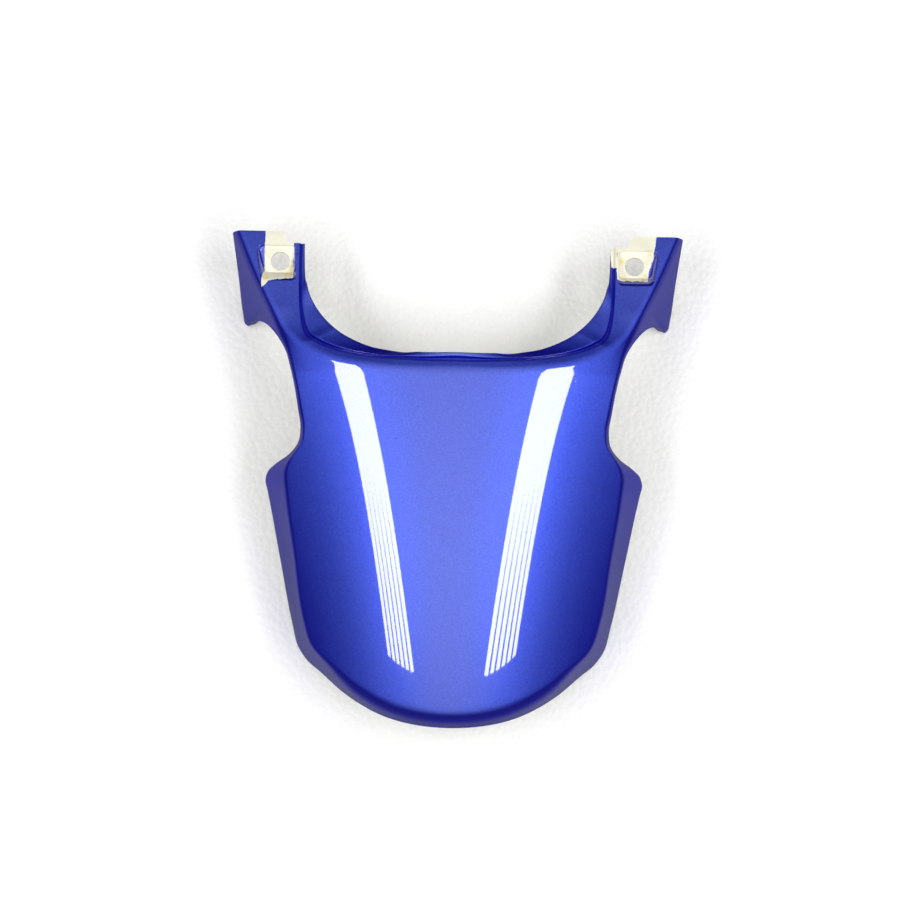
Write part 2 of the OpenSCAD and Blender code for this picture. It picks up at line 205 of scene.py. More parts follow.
paintLook = {
    "colour": (0.036, 0.082, 0.66, 1), "deep": (0.028, 0.066, 0.58, 1), "pale": (0.050, 0.110, 0.74, 1),
    # the colour turns to the first of these where the surface slants, and to the next where it stands steep
    # slant is partly the paint's own flop and partly painted shade on faces that slant away; graze is
    # painted light on steep faces
    "slant": (0.003, 0.003, 0.35, 1), "graze": (0.002, 0.002, 0.58, 1),
    "slantFacing": (0.0, 0.32), "grazeFacing": (0.36, 0.6),
    "metal": 0.5, "edgeTint": (0.10, 0.12, 0.5, 1), "roughness": 0.42,
    "coatRoughness": 0.03, "coatIor": 1.9,
    # sizes in mm of the flakes and their mottle, and the height of the paint film over the bare plastic
    "flakeSize": 0.45, "mottleSize": 1.6, "filmHeight": 0.12, "flakeHeight": 0.06,
    # the patches' torn edges: size and depth of the tears in mm, and how far they run along the arm
    "tearSize": 2.6, "tearDepth": 3.4, "tearStretch": (1, 0.22, 0.22), "edgeBlur": 0.12,
    # bare patches on the arms, in mm, and stains on them as x, y, radius
    "patches": [
        [(-96.0, 150), (-112.5, 150), (-114.0, 112.4), (-96.0, 115.2)],
        [(-114.0, 117.0), (-114.1, 108.6), (-110.6, 112.9)],
        [(93.4, 117.0), (111.6, 116.6), (118.2, 150), (93.4, 150)],
        [(90.1, 124.8), (94.0, 124.2), (94.0, 140), (89.2, 140)],
    ],
    "stains": [
        (96.3, 128.8, 3.2), (98.2, 118.2, 3.0), (108.4, 117.4, 2.6),
        (113.0, 133.0, 2.6), (110.5, 120.7, 2.0),
        (-113.4, 131.0, 2.6), (-112.6, 115.0, 4.2), (-96.4, 126.0, 2.4), (-96.6, 122.6, 3.4),
        (-97.0, 119.4, 3.8), (-98.6, 116.8, 4.6),
    ],
    # marks in the paint, also as x, y, radius
    "smudge": (-34.5, 33.3, 5.0), "smudgeStrength": 0.35,
    "fleck": (-33.1, 17.9, 0.75), "fleckColour": (0.004, 0.006, 0.10, 1),
    "chip": (68.5, 53.4, 0.6), "chipColour": (0.20, 0.55, 0.75, 1),
}


def largest(tree, values):
    most = values[0]
    for value in values[1:]:
        most = math2(tree, "MAXIMUM", most, value)
    return most


def paintMaterial(bareGroup):
    look = paintLook
    material, tree = newMaterial("blueMetallicPaint")
    position = node(tree, "ShaderNodeTexCoord").outputs["Object"]
    # patch edges are torn at their ends and even along their sides
    along = scaled(tree, position, look["tearStretch"])
    tear = math2(tree, "SUBTRACT", noiseAt(tree, along, look["tearSize"], 4, 0.6), 0.5)
    wobble = math2(tree, "MULTIPLY", tear, look["tearDepth"])
    bare = largest(tree, [insideOf(tree, position, corners, wobble) for corners in look["patches"]])
    bareMask = ramp(tree, bare, -look["edgeBlur"], look["edgeBlur"])
    stain = largest(tree, [spotAt(tree, position, *spot) for spot in look["stains"]])
    plastic = useGroup(tree, bareGroup, position, stain)
    # the paint's flakes: a fine and a coarse mottle
    cells = {"Vector": position, "Scale": 1 / (look["flakeSize"] * mm)}
    flake = node(tree, "ShaderNodeTexVoronoi", cells, feature="F1")
    glint = node(tree, "ShaderNodeSeparateColor", {0: flake.outputs["Color"]}).outputs[0]
    mottle = noiseAt(tree, position, look["mottleSize"], 3, 0.6)
    blend = math2(tree, "ADD", math2(tree, "MULTIPLY", glint, 0.4), math2(tree, "MULTIPLY", mottle, 0.6))
    paint = mixColour(tree, ramp(tree, blend, 0.25, 0.5), look["deep"], look["colour"])
    paint = mixColour(tree, ramp(tree, blend, 0.5, 0.8), paint, look["pale"])
    # painted shade and painted light by how the face slants to the view, partly the metallic paint's real
    # flop
    facing = node(tree, "ShaderNodeLayerWeight", {"Blend": 0.5}).outputs["Facing"]
    paint = mixColour(tree, ramp(tree, facing, *look["slantFacing"]), paint, look["slant"])
    paint = mixColour(tree, ramp(tree, facing, *look["grazeFacing"]), paint, look["graze"])
    smudge = math2(tree, "MULTIPLY", spotAt(tree, position, *look["smudge"]), look["smudgeStrength"])
    paint = mixColour(tree, smudge, paint, look["deep"])
    for mark in ("fleck", "chip"):
        paint = mixColour(tree, spotAt(tree, position, *look[mark]), paint, look[mark + "Colour"])
    colour = mixColour(tree, bareMask, paint, plastic.outputs["Colour"])
    painted = math2(tree, "SUBTRACT", 1.0, bareMask)
    metal = math2(tree, "MULTIPLY", painted, look["metal"])
    both = {"Factor": bareMask, "A": look["roughness"], "B": plastic.outputs["Roughness"]}
    rough = node(tree, "ShaderNodeMix", both, data_type="FLOAT").outputs[0]
    film = math2(tree, "ADD", painted, math2(tree, "MULTIPLY", glint, look["flakeHeight"]))
    relief = {"Height": film, "Strength": 0.35, "Distance": look["filmHeight"] * mm}
    bump = node(tree, "ShaderNodeBump", relief)
    shader = node(tree, "ShaderNodeBsdfPrincipled", {
        "Base Color": colour, "Roughness": rough, "Metallic": metal, "Specular Tint": look["edgeTint"],
        "Coat Weight": painted, "Coat Roughness": look["coatRoughness"], "Coat IOR": look["coatIor"],
        "Normal": bump.outputs["Normal"],
    })
    node(tree, "ShaderNodeOutputMaterial", {"Surface": shader.outputs["BSDF"]})
    return material


def innerMaterial(bareGroup):
    # the unpainted inside
    material, tree = newMaterial("creamPlastic")
    position = node(tree, "ShaderNodeTexCoord").outputs["Object"]
    plastic = useGroup(tree, bareGroup, position, 0.0)
    depth = bareLook["grainHeight"] * mm
    relief = {"Height": plastic.outputs["Height"], "Strength": 0.25, "Distance": depth}
    bump = node(tree, "ShaderNodeBump", relief)
    shader = node(tree, "ShaderNodeBsdfPrincipled", {
        "Base Color": plastic.outputs["Colour"], "Roughness": plastic.outputs["Roughness"],
        "Normal": bump.outputs["Normal"],
    })
    node(tree, "ShaderNodeOutputMaterial", {"Surface": shader.outputs["BSDF"]})
    return material


barePlastic = barePlasticGroup()
finishes = [paintMaterial(barePlastic), innerMaterial(barePlastic)]
print("stage: materials made")

# Shell, sizes in mm
shellForm = {
    "bodyLength": 289.0, "earSpan": 267.0, "crownHeight": 82.0, "wall": 3.0,
    "seatWidth": 179.0, "seatDepth": 76.5, "ledgeArm": 2.5, "ledgeBack": 4.6,
    "grooveBack": 1.8, "grooveArm": 0.6, "grooveDepth": 2.6,
    "stepBack": 5.0, "stepArm": 2.2, "stepRun": 1.6, "collar": 5.0, "collarFall": 1.9,
    "frontRadius": 204.0, "rearRadius": 96.0, "tailFall": 28.0, "armSlope": 0.25,
    "earTipBack": 49.7, "earTipSpan": 254.0, "earFrontHeight": 33.5,
    "waistWidth": 178.0, "waistBack": 119.2, "flangeSpan": 222.0, "flangeCornerHeight": 25.0,
    "flangeCornerBack": 27.0,  # from the waist
    "heelAhead": 46.5, "heelSpan": 182.0, "rimHeight": 38.0, "rollDepth": 5.0, "rollRound": 10.0,
    "last": 386.0,             # station of the rear middle
    "stepRound": 1.0, "lipRound": 0.6, "ridgeRound": 2.6, "edgeRound": 0.55,
    "sharpAngle": 38.0,        # degrees between faces at which an edge is drawn sharp
}
form = shellForm
front = form["bodyLength"] / 2
rear = -front
seatBack = front - form["seatDepth"]
halfSeat = form["seatWidth"] / 2
stepLine = seatBack - form["ledgeBack"]
ridgeLine = stepLine - form["stepRun"] / 2 - form["collar"]
halfEar = form["earSpan"] / 2
halfTip = form["earTipSpan"] / 2
tip = front - form["earTipBack"]
halfWaist = form["waistWidth"] / 2
waist = front - form["waistBack"]
halfFlange = form["flangeSpan"] / 2
corner = waist - form["flangeCornerBack"]
halfHeel = form["heelSpan"] / 2
heel = rear + form["heelAhead"]
armLedge = halfSeat + form["ledgeArm"]
last = form["last"]
roll = rear + form["rollDepth"]
flangeLow = form["flangeCornerHeight"]
rimTop = form["rimHeight"]

# Feature lines of the right half: station along the outer rim, then the place there
seatEdge = [
    (0, (halfSeat + 0.6, front)), (28, (halfSeat - 0.6, seatBack + 50.5)),
    (49, (halfSeat - 2.2, seatBack + 40.5)), (60, (halfSeat - 5.9, seatBack + 32.6)),
    (78, (halfSeat - 11.5, seatBack + 24)),
    (102, (halfSeat - 20.6, seatBack + 14.9)), (128, (halfSeat - 29.9, seatBack + 8.9)),
    (156, (halfSeat - 41, seatBack + 4)), (184, (halfSeat - 52.5, seatBack + 1.4)),
    (264, (halfSeat - 69, seatBack + 0.2)), (last, (0, seatBack)),
]
stepMiddle = [
    (0, (armLedge + 0.3, front)), (49, (armLedge - 0.9, stepLine + 39.4)),
    (66, (armLedge - 2, stepLine + 29)),
    (80, (armLedge - 3.9, stepLine + 20.4)), (90, (armLedge - 6.2, stepLine + 16)),
    (102, (armLedge - 10.2, stepLine + 13)), (128, (armLedge - 19.2, stepLine + 8.5)),
    (156, (armLedge - 30.5, stepLine + 5)), (184, (armLedge - 41.5, stepLine + 2.8)),
    (264, (armLedge - 64, stepLine + 0.6)), (last, (0, stepLine)),
]
ridge = [
    (0, (halfEar - 5, front - 0.2)), (28, (halfEar - 15.4, front - 23.8)),
    (49, (halfEar - 24.2, front - 42.3)),
    (58, (halfEar - 27.8, front - 48.8)), (66, (halfEar - 31.6, front - 56.2)),
    (84, (halfEar - 38.9, ridgeLine + 21.8)), (102, (halfEar - 46.3, ridgeLine + 16.2)),
    (128, (halfEar - 54.8, ridgeLine + 11.2)), (156, (halfEar - 66, ridgeLine + 6.8)),
    (184, (halfEar - 79, ridgeLine + 4)), (264, (halfEar - 100, ridgeLine + 1)), (last, (0, ridgeLine)),
]
crease = [
    (0, (halfEar - 1.6, front - 0.4)), (28, (halfEar - 12.2, front - 25.6)),
    (49, (halfEar - 21.2, front - 43.8)), (66, (halfEar - 28.2, front - 58)),
    (84, (halfEar - 34.4, front - 69.5)), (102, (halfWaist + 5.2, waist + 34)),
    (128, (halfWaist - 0.2, waist + 11)), (141, (halfWaist - 1.9, waist - 0.5)),
    (149, (halfWaist - 0.9, waist - 8)),
    (157, (halfFlange - 19.5, corner + 14)), (166, (halfFlange - 15.2, corner + 8)),
    (175, (halfFlange - 13.2, corner + 1.5)), (184, (halfFlange - 13.8, corner - 7)),
    (225, (halfFlange - 19.2, corner - 45)), (264, (halfHeel - 5, heel + 14.5)),
    (277, (halfHeel - 8.7, heel + 2.5)), (300, (halfHeel - 20.8, rear + 34.7)),
    (320, (halfHeel - 33.8, roll + 16.5)), (345, (37.4, roll + 6)),
    (368, (17.2, roll + 1.2)), (last, (0, roll)),
]
rim = [
    (0, (halfEar, front, form["earFrontHeight"])), (24, (halfTip + 3.6, tip + 25.5, 20)),
    (43, (halfTip + 1.8, tip + 5.6, 4.4)), (49, (halfTip + 0.9, tip + 1.1, 0.6)),
    (52, (halfTip - 0.8, tip - 0.3, 0)), (56, (halfTip - 4.2, tip - 0.2, 12.5)),
    (66, (halfTip - 12, tip - 3, 32)), (78, (halfTip - 20.2, tip - 11, 48)),
    (90, (halfWaist + 10.3, waist + 47, 53)), (102, (halfWaist + 7, waist + 37, 55)),
    (116, (halfWaist + 3.8, waist + 24, 57)), (128, (halfWaist + 1.6, waist + 11.7, 57.2)),
    (141, (halfWaist, waist, 55.2)), (149, (halfWaist + 1.4, waist - 7.4, 51.5)),
    (156, (halfWaist + 6, waist - 12.5, 45)), (168, (halfFlange - 5.7, corner + 8.3, flangeLow + 9)),
    (174, (halfFlange - 1.6, corner + 4.8, flangeLow + 4)), (179, (halfFlange, corner, flangeLow)),
    (184, (halfFlange - 1.1, corner - 5, flangeLow - 1.5)), (225, (halfHeel + 11, heel + 50.5, 11.5)),
    (264, (halfHeel + 3.4, heel + 12.5, 1.6)), (277, (halfHeel, heel, 0)),
    (285, (halfHeel - 4.4, heel - 6.7, 1.2)), (300, (halfHeel - 15, rear + 30.7, 9.5)),
    (320, (halfHeel - 29.8, rear + 18.5, rimTop - 18.5)), (345, (39.5, rear + 6.6, rimTop - 7.5)),
    (368, (18, rear + 1.2, rimTop - 1.4)), (last, (0, rear, rimTop)),
]


def lineAt(line, s):
    # smooth curve through a line's points, carried past the middle by its mirror image
    before = line[-2]
    past = (2 * last - before[0], (-before[1][0], *before[1][1:]))
    points = line + [past]
    stations = np.array([p[0] for p in points], float)
    places = np.array([p[1] for p in points], float)
    gap = np.diff(stations)[:, None]
    chord = np.diff(places, axis=0) / gap
    inner = (chord[:-1] * gap[1:] + chord[1:] * gap[:-1]) / (gap[:-1] + gap[1:])
    heading = np.vstack([chord[:1], inner, chord[-1:]])
    i = np.clip(np.searchsorted(stations, s, side="right") - 1, 0, len(stations) - 2)
    h = gap[i]
    u = (s - stations[i])[:, None] / h
    return (places[i] * (2 * u**3 - 3 * u**2 + 1) + heading[i] * h * (u**3 - 2 * u**2 + u)
            + places[i + 1] * (3 * u**2 - 2 * u**3) + heading[i + 1] * h * (u**3 - u**2))


def ease(s, a, b):
    t = np.clip((s - a) / (b - a), 0, 1)
    return t * t * (3 - 2 * t)


def unit(v):
    return v / np.linalg.norm(v, axis=1, keepdims=True)


def crownAt(x, y):
    ahead = np.maximum(0, ridgeLine - y) / (ridgeLine - rear)
    bend = 1 / form["frontRadius"] + ahead * (1 / form["rearRadius"] - 1 / form["frontRadius"])
    return form["crownHeight"] - form["tailFall"] * ahead**2.4 - x * x / 2 * bend


def stepSide(s, side):
    middle = lineAt(stepMiddle, s)
    along = unit(lineAt(stepMiddle, s + 0.5) - middle)
    run = form["stepRun"] * (0.65 + 0.35 * ease(s, 60, 110))[:, None]
    return middle + np.column_stack([-along[:, 1], along[:, 0]]) * side * run / 2


def stepTop(s):
    p = stepSide(s, 1)
    armFall = form["armSlope"] * np.maximum(0, p[:, 1] - seatBack - 8)
    return np.column_stack([p, crownAt(p[:, 0], p[:, 1]) - form["collarFall"] - armFall])


def stepFoot(s):
    p = stepSide(s, -1)
    fall = form["stepArm"] + (form["stepBack"] - form["stepArm"]) * ease(s, 50, 110)
    return np.column_stack([p, stepTop(s)[:, 2] - fall])


def ledgeLip(s):
    # top of the groove's front side, between the step's foot and the ledge
    foot = stepFoot(s)
    away = lineAt(seatEdge, s) - foot[:, :2]
    span = np.linalg.norm(away, axis=1)
    width = form["grooveArm"] + (form["grooveBack"] - form["grooveArm"]) * ease(s, 50, 110)
    width = np.minimum(width, 0.6 * span)
    rise = form["grooveDepth"] * width / form["grooveBack"]
    return np.column_stack([foot[:, :2] + unit(away) * width[:, None], foot[:, 2] + rise])


def ledgeEdge(s):
    p, lip = lineAt(seatEdge, s), ledgeLip(s)
    return np.column_stack([p, lip[:, 2] - 0.05 * np.hypot(p[:, 0] - lip[:, 0], p[:, 1] - lip[:, 1])])


def skin(s, t):
    t = np.broadcast_to(t, s.shape)[:, None]
    a, b = lineAt(ridge, s), lineAt(crease, s)
    q = np.column_stack([a[:, 0] * 0.8 + b[:, 0] * 0.2, b[:, 1] * 0.75 + a[:, 1] * 0.25])
    p = a * (1 - t)**2 + q * 2 * t * (1 - t) + b * t**2
    shoulder = 1.8 * (1 - ease(s, 50, 120))
    return np.column_stack([p, crownAt(p[:, 0], p[:, 1]) - shoulder * t[:, 0]**2])


def normalOf(a, b, c, d):
    return unit(np.cross(c + d - a - b, b + d - a - c))


def skinNormal(s, t):
    e = 0.02
    return normalOf(skin(s - 0.5, t - e), skin(s - 0.5, t + e), skin(s + 0.5, t - e), skin(s + 0.5, t + e))


def mitre(a, b):
    return form["wall"] * (a + b) / (1 + (a * b).sum(axis=1, keepdims=True))


def toward(p, q, d, most=0.45):
    span = np.linalg.norm(q - p, axis=1)
    return p + unit(q - p) * np.minimum(d, most * span)[:, None]


def rounded(a, p, b, n):
    return [a * (1 - t)**2 + p * 2 * t * (1 - t) + b * t**2 for t in np.linspace(0, 1, n + 1)]


def between(a, b, n):
    return [a + (b - a) * i / n for i in range(1, n)]


# Columns of the mesh across the section, outside and inside
columns = {"outer": (6, 5, 20, 5, 38, 12, 8), "inner": (3, 2, 10, 3, 20, 5, 4)}


def sheetSection(s, corners, depth, counts, edgeInner, rimInner):
    edgeP, lip, foot, top, ridgeP, creaseP, rimP = corners
    ledgeN, bendN, collarN, ridgeN, crownN, creaseN, wallN = counts
    creaseRound = form["ridgeRound"] + (form["rollRound"] - form["ridgeRound"]) * ease(s, 285, 330)
    span = np.linalg.norm(skin(s, 1.0) - skin(s, 0.0), axis=1)
    t0 = np.minimum(form["ridgeRound"] / span, 0.45)
    t1 = 1 - np.minimum((creaseRound + depth) / span, 0.45)

    def n(t):
        return skin(s, t) - (depth * skinNormal(np.maximum(s, 0.5), t) if depth else 0)
    e, small, wide = form["edgeRound"], form["lipRound"], form["stepRound"]
    edgeRow = rounded(toward(edgeP, edgeInner, e), edgeP, toward(edgeP, lip, e), 3)
    lipRow = rounded(toward(lip, edgeP, small), lip, toward(lip, foot, small), bendN)
    footRow = rounded(toward(foot, lip, wide), foot, toward(foot, top, wide), bendN)
    topRow = rounded(toward(top, foot, small), top, toward(top, ridgeP, small), bendN)
    ridgeRow = rounded(toward(ridgeP, top, form["ridgeRound"]), ridgeP, n(t0), ridgeN)
    crownRow = [n(t0 + (t1 - t0) * i / crownN) for i in range(1, crownN)]
    wallTop = toward(creaseP, rimP, creaseRound, 0.8)
    creaseRow = rounded(n(t1), creaseP, wallTop, creaseN)
    rimRow = rounded(toward(rimP, creaseP, e), rimP, toward(rimP, rimInner, e), 3)
    return (edgeRow + between(edgeRow[-1], lipRow[0], ledgeN) + lipRow + footRow + topRow
            + between(topRow[-1], ridgeRow[0], collarN) + ridgeRow + crownRow + creaseRow
            + between(wallTop, rimRow[0], wallN) + rimRow)


def shellRings(s):
    safe = np.maximum(s, 0.5)
    a, b = safe - 0.5, safe + 0.5
    n0 = normalOf(ledgeEdge(a), ledgeLip(a), ledgeEdge(b), ledgeLip(b))
    n1 = normalOf(stepFoot(a), stepTop(a), stepFoot(b), stepTop(b))
    n2 = normalOf(stepTop(a), skin(a, 0.0), stepTop(b), skin(b, 0.0))
    n3, n4 = skinNormal(safe, 0.03), skinNormal(safe, 0.97)
    n5 = normalOf(skin(a, 1.0), lineAt(rim, a), skin(b, 1.0), lineAt(rim, b))
    flat = n5 * (1, 1, 0)
    wall = form["wall"]
    outer = [ledgeEdge(s), ledgeLip(s), stepFoot(s), stepTop(s), skin(s, 0.0), skin(s, 1.0), lineAt(rim, s)]
    moved = [n0 * wall, n0 * wall, mitre(n0, n1), mitre(n1, n2), mitre(n2, n3), mitre(n4, n5),
             wall * flat / (flat * flat).sum(axis=1, keepdims=True)]
    inner = [p - m for p, m in zip(outer, moved)]
    inner[1] = (inner[0] + inner[2]) / 2      # the underside doesn't follow the groove
    outside = sheetSection(s, outer, 0, columns["outer"], inner[0], inner[-1])
    inside = sheetSection(s, inner, wall, columns["inner"], outer[0], outer[-1])
    return np.stack(outside + inside[::-1], axis=1), len(outside)


def stationList():
    # closer together on the arms, round the ear tips and round the flange corners
    spans = [(-2, 40, 70), (40, 56, 32), (56, 150, 60), (150, 190, 36), (190, 270, 36), (270, 292, 18),
             (292, last, 44)]
    rows = [a + (b - a) * i / n for a, b, n in spans for i in range(n)]
    return np.array(rows + [last])


def meshFromArrays(name, points, faces, materials=(), slots=0):
    mesh = bpy.data.meshes.new(name)
    mesh.from_pydata(points.tolist(), [], faces)
    for material in materials:
        mesh.materials.append(material)
    mesh.polygons.foreach_set("material_index", np.broadcast_to(slots, len(faces)).astype(np.int32))
    mesh.update()
    obj = bpy.data.objects.new(name, mesh)
    bpy.context.scene.collection.objects.link(obj)
    return obj


def buildShell():
    half, outerCount = shellRings(stationList())
    other = half[-2::-1] * (-1, 1, 1)
    rings = np.concatenate([half, other])
    for end in (0, -1):          # flat ends
        rings[end][:, 1] = rings[end][:, 1].max()
    count, size = rings.shape[:2]
    faces = []
    for i in range(count - 1):
        a, b = i * size, (i + 1) * size
        for k in range(size):
            j = (k + 1) % size
            faces.append((a + k, a + j, b + j, b + k))
    faces.append(tuple(range(size - 1, -1, -1)))
    faces.append(tuple((count - 1) * size + k for k in range(size)))
    # paint wraps round both free edges, and the rest of the underside is bare
    inside = (np.arange(size) >= outerCount + 4) & (np.arange(size) < size - 5)
    slots = np.append(np.tile(inside.astype(int), count - 1), (0, 0))
    shell = meshFromArrays("tailShell", rings.reshape(-1, 3) * mm, faces, finishes, slots)
    work = bmesh.new()
    work.from_mesh(shell.data)
    if work.calc_volume(signed=True) < 0:
        bmesh.ops.reverse_faces(work, faces=work.faces)
    work.to_mesh(shell.data)
    work.free()
    return shell


shell = buildShell()
print("stage: shell lofted,", len(shell.data.polygons), "faces")

# Pads and screw holes, sizes in mm
padForm = {
    "holeSpacing": 208.0, "holeDiameter": 11.0, "holeBack": 18.4, "padWidth": 21.0, "padSplay": 4.0,
    "padCorner": 3.0, "padScoop": 7.0, "padLength": 16.5, "padHeight": 42.6,
    "padInset": 2.0, "padAhead": 1.0,      # from the step, and of the hole
    "frontNotch": 7.7, "notchWidth": 10.0, "notchSlant": 3.9,
    "rise": 10.0, "floorRound": 0.9, "lipRound": 0.5, "outerLean": 2.8,
}
padIn = armLedge + form["stepRun"] / 2 + padForm["padInset"]
padFront = front - padForm["holeBack"] + padForm["padLength"] / 2 + padForm["padAhead"]
padRear = padFront - padForm["padLength"]


def padCorners(inner, back, outer, ahead):
    # the pad's outline, widened by these distances. It splays outward to the front.
    splay, length = padForm["padSplay"], padForm["padLength"]
    side = padIn + padForm["padWidth"] + outer
    return np.array([
        (padIn - inner, padRear - back), (side - splay * back / length, padRear - back),
        (side + splay * (1 + ahead / length), padFront + ahead), (padIn - inner, padFront + ahead),
    ])


def roundLoop(corners, radius, perCorner=8, along=14):
    # outline of circles of that radius at the corners
    loop = []
    for i, p in enumerate(corners):
        before, after = corners[i - 1], corners[(i + 1) % len(corners)]
        inDir, outDir = unit((p - before)[None])[0], unit((after - p)[None])[0]
        a0 = math.atan2(-inDir[0], inDir[1])
        a1 = math.atan2(-outDir[0], outDir[1])
        while a1 < a0:
            a1 += 2 * math.pi
        for k in range(perCorner + 1):
            a = a0 + (a1 - a0) * k / perCorner
            loop.append(p + radius * np.array((math.cos(a), math.sin(a))))
        # points along the straight side to the next corner
        normal = np.array((math.cos(a1), math.sin(a1))) * radius
        loop += [p + normal + (after - p) * k / along for k in range(1, along)]
    return np.array(loop)


def loopSolid(name, loops, side, slot):
    # closed solid through loops of equal length, from the lowest to the highest
    count = len(loops[0])
    points = np.concatenate(loops) * (side, 1, 1)
    faces = []
    for a in range(0, (len(loops) - 1) * count, count):
        for k in range(count):
            j = (k + 1) % count
            faces.append((a + k, a + j, a + count + j, a + count + k))
    faces += [tuple(range(count - 1, -1, -1)), tuple(range(len(points) - count, len(points)))]
    solid = meshFromArrays(name, points * mm, faces, finishes, slot)
    work = bmesh.new()
    work.from_mesh(solid.data)
    bmesh.ops.recalc_face_normals(work, faces=work.faces)
    if work.calc_volume(signed=True) < 0:
        bmesh.ops.reverse_faces(work, faces=work.faces)
    work.to_mesh(solid.data)
    work.free()
    return solid


def armSurface(obj):
    tree = BVHTree.FromObject(obj, bpy.context.evaluated_depsgraph_get())

    def height(x, y):
        hit = tree.ray_cast(Vector((x * mm, y * mm, 0.2)), Vector((0, 0, -1)))[0]
        return hit.z / mm if hit else None
    return height


def padPocket(side, height):
    r, z0, rise = padForm["padCorner"], padForm["padHeight"], padForm["rise"]
    low = padCorners(-r, -r, -r - padForm["outerLean"], -r)
    high = padCorners(1 - r, padForm["padScoop"] - r, 1.2 - r, 1 - r)
    base, far = roundLoop(low, r), roundLoop(high, r)
    inward = unit(base - base.mean(axis=0))
    f = padForm["floorRound"]
    loops = []
    for a in (0, 22.5, 45, 67.5, 90):
        turn = math.radians(a)
        loops.append(np.column_stack([base - inward * f * (1 - math.sin(turn)),
                                      np.full(len(base), z0 + f * (1 - math.cos(turn)))]))
    # the wall leans out from there and ends in a small rounded lip at the arm's surface
    wallAt = [base + (far - base) * t for t in (0.0, 0.25, 0.5, 1.0)]
    top = []
    for i, p in enumerate(base):
        t = 0.3
        for _ in range(12):
            place = p + (far[i] - p) * t
            z = height(*place)
            if z is None:
                z = z0 + rise * t
            t = float(np.clip((z - z0) / rise, 0.12, 1.6))
        top.append((t, z0 + rise * t))
    reach = np.array([t for t, z in top])[:, None]
    edgeZ = np.array([z for t, z in top])
    lip = padForm["lipRound"]
    outward = unit(far - base)
    for part in (0.5, 1.0):
        share = reach * part - (lip / rise if part == 1.0 else 0)
        place = base + (far - base) * share
        loops.append(np.column_stack([place, z0 + rise * share[:, 0]]))
    for a in (30, 60, 85):
        turn = math.radians(a)
        place = base + (far - base) * reach + outward * lip * (1 - math.cos(turn))
        loops.append(np.column_stack([place, edgeZ - lip * (1 - math.sin(turn))]))
    place = base + (far - base) * reach + outward * (lip + 1.5)
    loops.append(np.column_stack([place, edgeZ + 1.2]))
    loops.append(np.column_stack([place, edgeZ + 12]))
    return loopSolid("padPocket", loops, side, 0)


def padBlock(side, height):
    low = padForm["padHeight"] - form["wall"]
    corners = padCorners(1.4, form["wall"] + padForm["padScoop"] / 3, form["wall"] - 1, 7)
    top = [max(low + 0.5, (height(*p) or low + 2) - form["wall"] / 2) for p in corners]
    loops = [np.column_stack([corners, np.full(4, low)]), np.column_stack([corners, top])]
    return loopSolid("padBlock", loops, side, 1)


def screwHole(side):
    r, z0 = padForm["holeDiameter"] / 2, padForm["padHeight"]
    centre = np.array((padForm["holeSpacing"] / 2, front - padForm["holeBack"]))
    # radius and height over the pad, from above it down through the wall, with eased edges
    profile = [(r + 0.35, 5), (r + 0.35, 0.02), (r + 0.12, -0.1), (r, -0.35), (r, 0.35 - form["wall"]),
               (r + 0.12, 0.1 - form["wall"]), (r + 0.35, -0.02 - form["wall"]), (r + 0.35, -8)]
    turn = np.linspace(0, 2 * math.pi, 64, endpoint=False)
    circle = np.column_stack([np.cos(turn), np.sin(turn)])
    loops = [np.column_stack([centre + circle * radius, np.full(len(turn), z0 + dz)])
             for radius, dz in profile[::-1]]
    return loopSolid("screwHole", loops, side, 1)


def frontSpace(side):
    # all that lies ahead of the arm's front edge, which has a notch on its inner side
    x, back = halfSeat + padForm["notchWidth"], front - padForm["frontNotch"]
    outline = np.array([
        (-5, front + 20), (-5, back), (x, back), (x + padForm["notchSlant"], front - 0.3),
        (halfEar + 5, front), (halfEar + 5, front + 20),
    ])
    loops = [np.column_stack([outline, np.full(len(outline), z)]) for z in (-1.0, form["crownHeight"] + 1)]
    return loopSolid("frontSpace", loops, side, 0)


def applyBoolean(obj, tool, operation):
    step = obj.modifiers.new(operation, "BOOLEAN")
    step.operation, step.object, step.solver = operation, tool, "EXACT"
    step.use_self = False
    bpy.context.view_layer.update()
    result = bpy.data.meshes.new_from_object(obj.evaluated_get(bpy.context.evaluated_depsgraph_get()))
    old = obj.data
    obj.modifiers.clear()
    obj.data = result
    bpy.data.meshes.remove(old)
    bpy.data.objects.remove(tool)


height = armSurface(shell)
for side in (1, -1):
    block, pocket = padBlock(side, height), padPocket(side, height)
    applyBoolean(shell, block, "UNION")
    applyBoolean(shell, pocket, "DIFFERENCE")
    applyBoolean(shell, screwHole(side), "DIFFERENCE")
    applyBoolean(shell, frontSpace(side), "DIFFERENCE")
print("stage: pads and screw holes cut,", len(shell.data.polygons), "faces")


def finishShell(obj):
    low, high = np.array(cadBox[0]), np.array(cadBox[1])
    mesh = obj.data
    places = np.empty(len(mesh.vertices) * 3)
    mesh.vertices.foreach_get("co", places)
    places = np.clip(places.reshape(-1, 3), low, high)
    mesh.vertices.foreach_set("co", places.ravel())
    mesh.polygons.foreach_set("use_smooth", [True] * len(mesh.polygons))
    mesh.update()
    mesh.set_sharp_from_angle(angle=math.radians(form["sharpAngle"]))


finishShell(shell)

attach(shell, "root")
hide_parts("tail_fairing")
print("stage: shell finished")

# Floor and light
floorLook = {
    "size": 24.0,              # in m
    "colour": (0.92, 0.92, 0.92, 1), "glow": 0.07,
    # in reflections the sheet is drawn darker than it is, as painted shade: its colour near the part, the
    # room's, and where the one turns to the other, in m
    "dim": (0.25, 0.25, 0.28, 1), "far": (0.05, 0.05, 0.06, 1), "near": 0.24, "fade": 0.12,
    "stretch": (1, 1.3, 1), "shift": (0, -0.08, 0),
    # the foam's pebbles, in mm
    "pebble": 3.6, "depth": 0.8,
}


